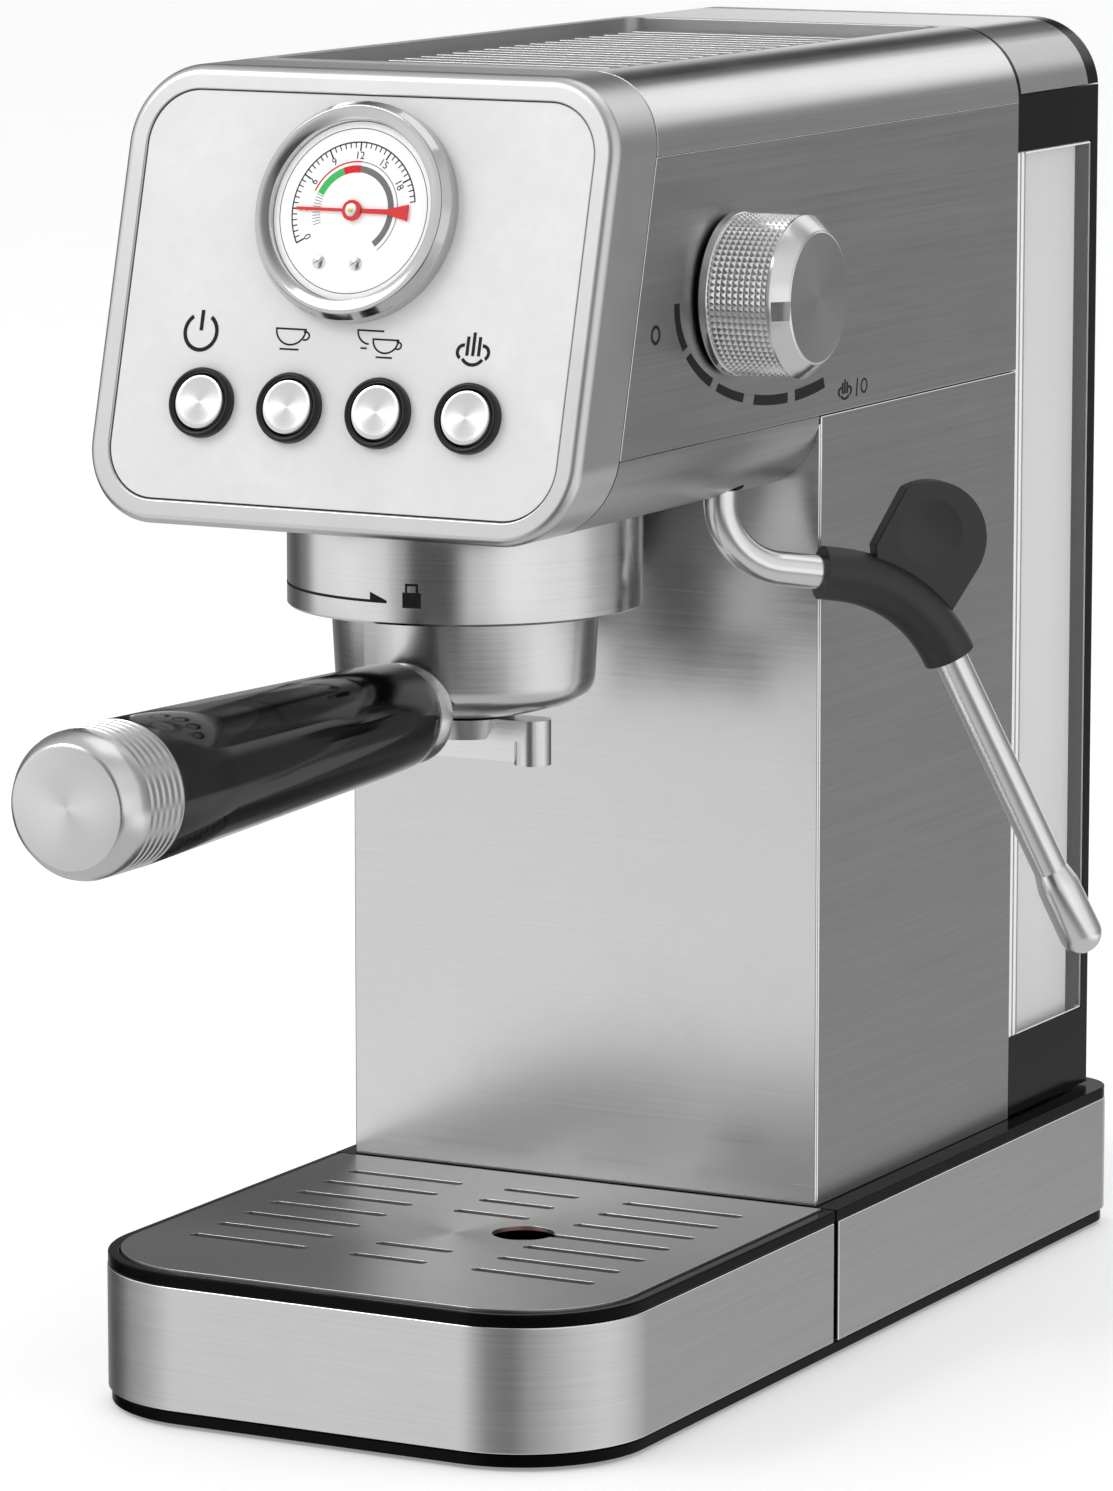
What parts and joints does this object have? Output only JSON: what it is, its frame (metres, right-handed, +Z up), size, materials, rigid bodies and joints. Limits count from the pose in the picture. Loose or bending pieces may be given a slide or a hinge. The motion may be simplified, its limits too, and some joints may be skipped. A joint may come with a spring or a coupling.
{
  "type": "espresso machine",
  "caption": "Slim upright pump espresso machine with a sloped control face, pressure gauge, side steam wand, portafilter, lift-out rear tank and slide-out drip tray.",
  "frame": {"origin": "centre of the four feet, on the surface the machine stands on", "axes": "+X to the right seen from the front, +Y from the handle side towards the water tank, +Z up"},
  "size_m": [0.1917, 0.4137, 0.3167],
  "materials": {
    "brushed_steel": "fine brushed grain along the panel",
    "satin_steel": "satin, turned",
    "polished_steel": "polished",
    "bezel_silver": "satin silver paint",
    "panel_white": "satin white",
    "black_gloss": "gloss moulded",
    "black_matte": "fine moulded grain",
    "inner_plastic": "moulded",
    "handle_black": "high gloss",
    "rubber_black": "soft matte",
    "gasket_rubber": "silicone",
    "clear_tank": "clear moulded plastic",
    "gauge_glass": "clear",
    "dial_white": "matte white with printed scale",
    "needle_red": "red lacquer",
    "float_red": "moulded",
    "cap_steel": "spun",
    "knob_silver": "satin, knurled",
    "aluminium_cast": "cast",
    "brass_part": "turned",
    "copper_pipe": "drawn copper tube",
    "hose_silicone": "translucent silicone",
    "board_green": "circuit board",
    "pump_body": "moulded pump body",
    "lid_grey": "gloss smoked grey"
  },
  "bodies": {
    "machine": {"base_pan": "black_matte", "rubber_feet": "rubber_black", "base_housing": "black_gloss", "rear_band": "brushed_steel", "column_front": "brushed_steel", "column_side_left": "brushed_steel", "column_side_right": "brushed_steel", "rear_cover": "black_matte", "head_belly": "brushed_steel", "head_side_left": "brushed_steel", "head_side_right": "brushed_steel", "head_roof": "brushed_steel", "cup_tray": "satin_steel", "front_bezel": "bezel_silver", "front_panel": "panel_white", "head_frame": "inner_plastic", "gauge_ring": "polished_steel", "gauge_case": "inner_plastic", "gauge_dial": "dial_white", "gauge_glass": "gauge_glass", "button_rings": "black_gloss", "control_board": "board_green", "steam_valve": "brass_part", "group_collar": "satin_steel", "group_head": "aluminium_cast", "group_gasket": "gasket_rubber", "shower_screen": "satin_steel", "screen_screw": "polished_steel", "boiler": "aluminium_cast", "pump": "pump_body", "pump_mounts": "rubber_black", "suction_hose": "hose_silicone", "pressure_hose": "hose_silicone", "steam_pipe": "copper_pipe", "wand_nut": "brass_part", "tank_coupler": "inner_plastic", "cord_gland": "black_matte"},
    "tray": {"drip_tray": "black_gloss", "tray_band": "brushed_steel"},
    "grid": {"drip_grid": "brushed_steel"},
    "float": {"tray_float": "float_red"},
    "needle": {"gauge_needle": "needle_red"},
    "power_key": {"power_button": "cap_steel"},
    "one_cup_key": {"one_cup_button": "cap_steel"},
    "two_cup_key": {"two_cup_button": "cap_steel"},
    "steam_key": {"steam_button": "cap_steel"},
    "knob": {"steam_knob": "knob_silver", "valve_spindle": "brass_part"},
    "wand": {"wand_tube": "polished_steel", "wand_sleeve": "black_matte", "wand_tip": "polished_steel"},
    "portafilter": {"portafilter_bowl": "satin_steel", "filter_basket": "satin_steel", "portafilter_handle": "handle_black", "handle_cap": "cap_steel", "portafilter_spout": "satin_steel"},
    "tank": {"water_tank": "clear_tank", "tank_frame": "black_gloss", "tank_valve": "inner_plastic"},
    "lid": {"tank_lid": "lid_grey"}
  },
  "joints": [
    {"name": "tray_slide", "type": "slide", "parent": "machine", "child": "tray", "axis": [0, -1, 0], "range_m": [0, 0.14]},
    {"name": "grid_lift", "type": "slide", "parent": "tray", "child": "grid", "axis": [0, 0, 1], "range_m": [0, 0.05]},
    {"name": "float_rise", "type": "slide", "parent": "tray", "child": "float", "axis": [0, 0, 1], "range_m": [0, 0.005]},
    {"name": "needle_turn", "type": "hinge", "parent": "machine", "child": "needle", "pos_m": [0, -0.13702, 0.28466], "axis": [0, -0.9659, 0.2588], "range_deg": [-170, 30], "stiffness_Nm_per_rad": 0.002},
    {"name": "power_press", "type": "slide", "parent": "machine", "child": "power_key", "axis": [0, 0.9659, -0.2588], "range_m": [0, 0.0015], "stiffness_N_per_m": 400, "springref_m": -0.001},
    {"name": "one_cup_press", "type": "slide", "parent": "machine", "child": "one_cup_key", "axis": [0, 0.9659, -0.2588], "range_m": [0, 0.0015], "stiffness_N_per_m": 400, "springref_m": -0.001},
    {"name": "two_cup_press", "type": "slide", "parent": "machine", "child": "two_cup_key", "axis": [0, 0.9659, -0.2588], "range_m": [0, 0.0015], "stiffness_N_per_m": 400, "springref_m": -0.001},
    {"name": "steam_press", "type": "slide", "parent": "machine", "child": "steam_key", "axis": [0, 0.9659, -0.2588], "range_m": [0, 0.0015], "stiffness_N_per_m": 400, "springref_m": -0.001},
    {"name": "knob_turn", "type": "hinge", "parent": "machine", "child": "knob", "pos_m": [0.06405, -0.0757, 0.264], "axis": [1, 0, 0], "range_deg": [0, 130]},
    {"name": "wand_swivel", "type": "hinge", "parent": "machine", "child": "wand", "pos_m": [0.051, -0.0542, 0.2127], "axis": [0, 0, 1], "range_deg": [-100, 3]},
    {"name": "portafilter_turn", "type": "hinge", "parent": "machine", "child": "portafilter", "pos_m": [0, -0.0868, 0.2], "axis": [0, 0, 1], "range_deg": [-55, 0]},
    {"name": "tank_lift", "type": "slide", "parent": "machine", "child": "tank", "axis": [0, 0, 1], "range_m": [0, 0.12]},
    {"name": "lid_hinge", "type": "hinge", "parent": "tank", "child": "lid", "pos_m": [0, 0.1399, 0.3], "axis": [-1, 0, 0], "range_deg": [0, 100]}
  ]
}
